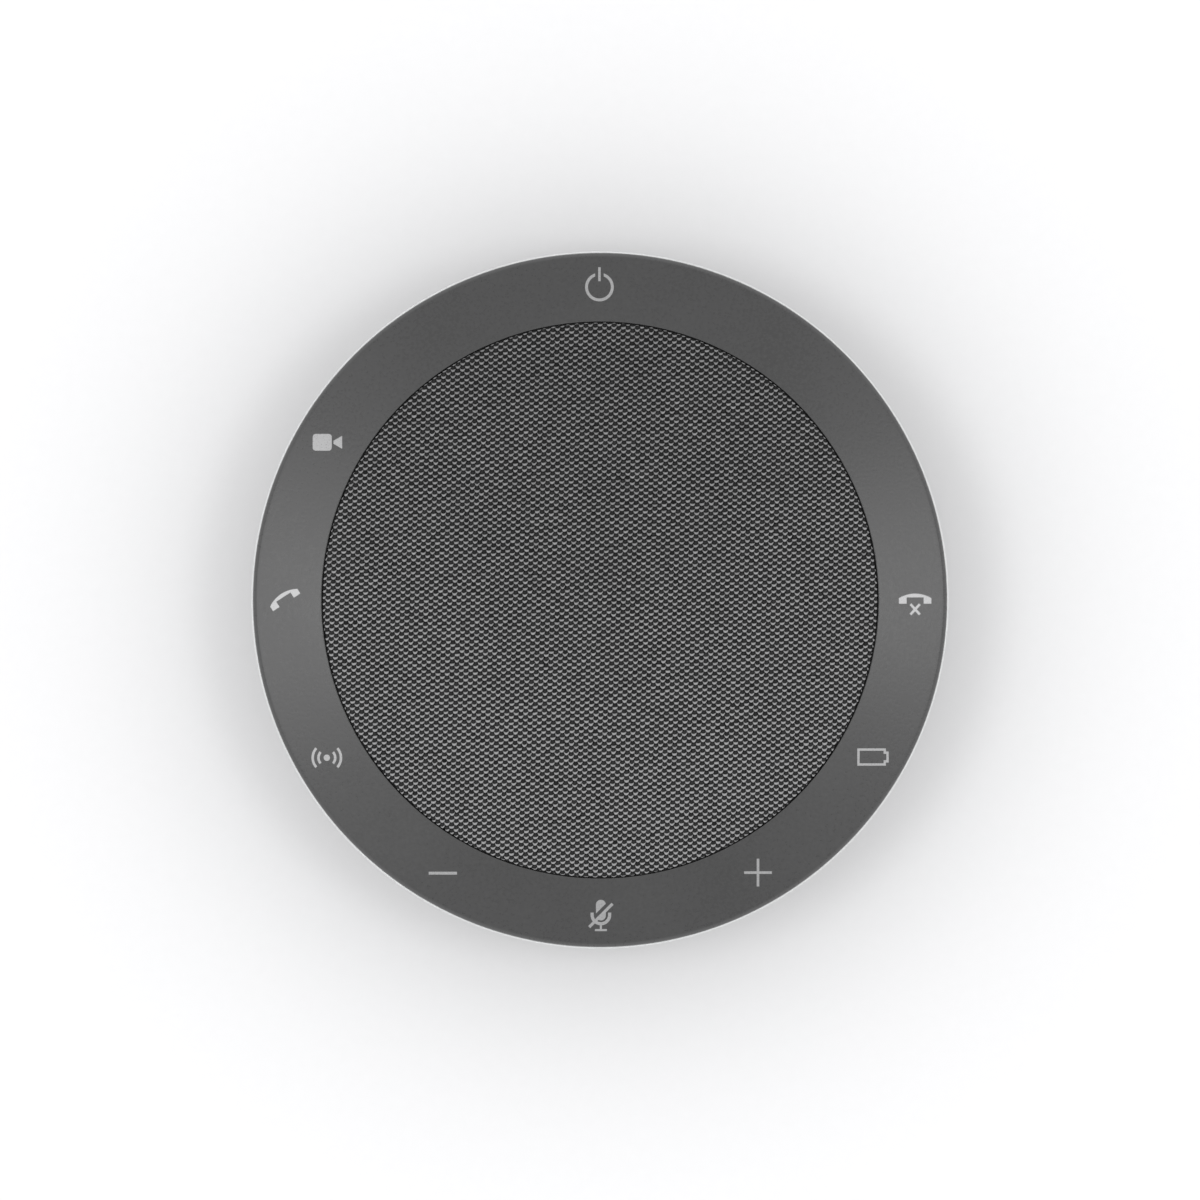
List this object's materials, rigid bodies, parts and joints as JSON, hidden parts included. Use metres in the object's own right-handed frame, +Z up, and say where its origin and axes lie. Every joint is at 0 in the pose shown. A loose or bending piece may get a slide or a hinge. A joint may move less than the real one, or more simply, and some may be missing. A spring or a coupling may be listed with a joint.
{
  "type": "conference speakerphone",
  "caption": "Round table-top speakerphone with a cloth-covered loudspeaker inside a sloping touch-control ring, a thin status light line and a rubber foot.",
  "frame": {"origin": "centre of the underside, on the table, on the axis of the round body", "axes": "+Z up along the axis of the body, +Y towards the power symbol and the USB-C socket, +X towards the hang-up symbol"},
  "size_m": [0.1206, 0.1206, 0.033],
  "materials": {
    "ring_plastic": "satin fine-grained dark grey",
    "symbol_print": "light grey translucent inlay",
    "cover_plastic": "fine spark-eroded texture, dark grey",
    "frame_plastic": "black moulded",
    "light_guide": "milky translucent",
    "rubber_foot": "matt silicone rubber",
    "rubber_seal": "soft black rubber",
    "foam": "closed-cell foam",
    "grille_cloth": "two-tone woven speaker cloth",
    "plate": "blank brushed plate",
    "screw_steel": "zinc-plated",
    "magnet_ferrite": "sintered ferrite",
    "soft_iron": "nickel-plated soft iron",
    "basket_steel": "black stamped steel",
    "cone_paper": "pressed black paper",
    "suspension_cloth": "resin-treated cotton",
    "surround_rubber": "soft butyl",
    "former": "polyimide film",
    "copper": "enamelled copper wire",
    "circuit_board": "solder-masked glass epoxy",
    "film": "polyimide flexible circuit",
    "chip_black": "moulded epoxy",
    "shield_tin": "tinned sheet",
    "led_lens": "clear epoxy",
    "connector_white": "nylon",
    "socket_steel": "drawn stainless",
    "battery_wrap": "aluminium-laminate pouch",
    "wire_pvc": "insulated stranded wire",
    "microphone_can": "gold-plated can"
  },
  "bodies": {
    "housing": {"foot_ring": "rubber_foot", "bottom_cover": "cover_plastic", "cover_screws": "screw_steel", "rating_plate": "plate", "light_ring": "light_guide", "control_ring": "ring_plastic", "icon_power": "symbol_print", "icon_meeting": "symbol_print", "icon_answer": "symbol_print", "icon_wireless": "symbol_print", "icon_volume_down": "symbol_print", "icon_mute": "symbol_print", "icon_volume_up": "symbol_print", "icon_battery": "symbol_print", "icon_hang_up": "symbol_print", "touch_film": "film", "touch_board": "circuit_board", "status_lights": "led_lens", "symbol_lights": "led_lens", "inner_frame": "frame_plastic", "ring_screws": "screw_steel", "baffle_screws": "screw_steel", "grille_frame": "frame_plastic", "grille_cloth": "grille_cloth", "chamber_cup": "frame_plastic", "chamber_gasket": "foam", "baffle": "frame_plastic", "top_plate": "soft_iron", "magnet": "magnet_ferrite", "yoke": "soft_iron", "basket": "basket_steel", "driver_screws": "screw_steel", "surround": "surround_rubber", "spider": "suspension_cloth", "main_board": "circuit_board", "board_screws": "screw_steel", "shield_can": "shield_tin", "processor": "chip_black", "wireless_module": "shield_tin", "amplifier": "chip_black", "power_inductor": "chip_black", "connectors": "connector_white", "capacitors": "shield_tin", "usb_socket": "socket_steel", "usb_tongue": "chip_black", "microphone_boards": "circuit_board", "microphones": "microphone_can", "microphone_boots": "rubber_seal", "battery_pack": "battery_wrap", "battery_pad": "foam", "terminal_strip": "circuit_board", "terminal_pads": "copper", "lead_grommet": "rubber_seal", "battery_leads": "wire_pvc", "speaker_leads": "wire_pvc", "flat_cable": "film"},
    "cone_assembly": {"cone": "cone_paper", "coil_former": "former", "voice_coil": "copper", "dust_cap": "cone_paper"}
  },
  "joints": [
    {"name": "cone_travel", "type": "slide", "parent": "housing", "child": "cone_assembly", "axis": [0, 0, 1], "range_m": [-0.002, 0.002], "stiffness_N_per_m": 1200, "deforming": ["surround", "spider"]}
  ]
}
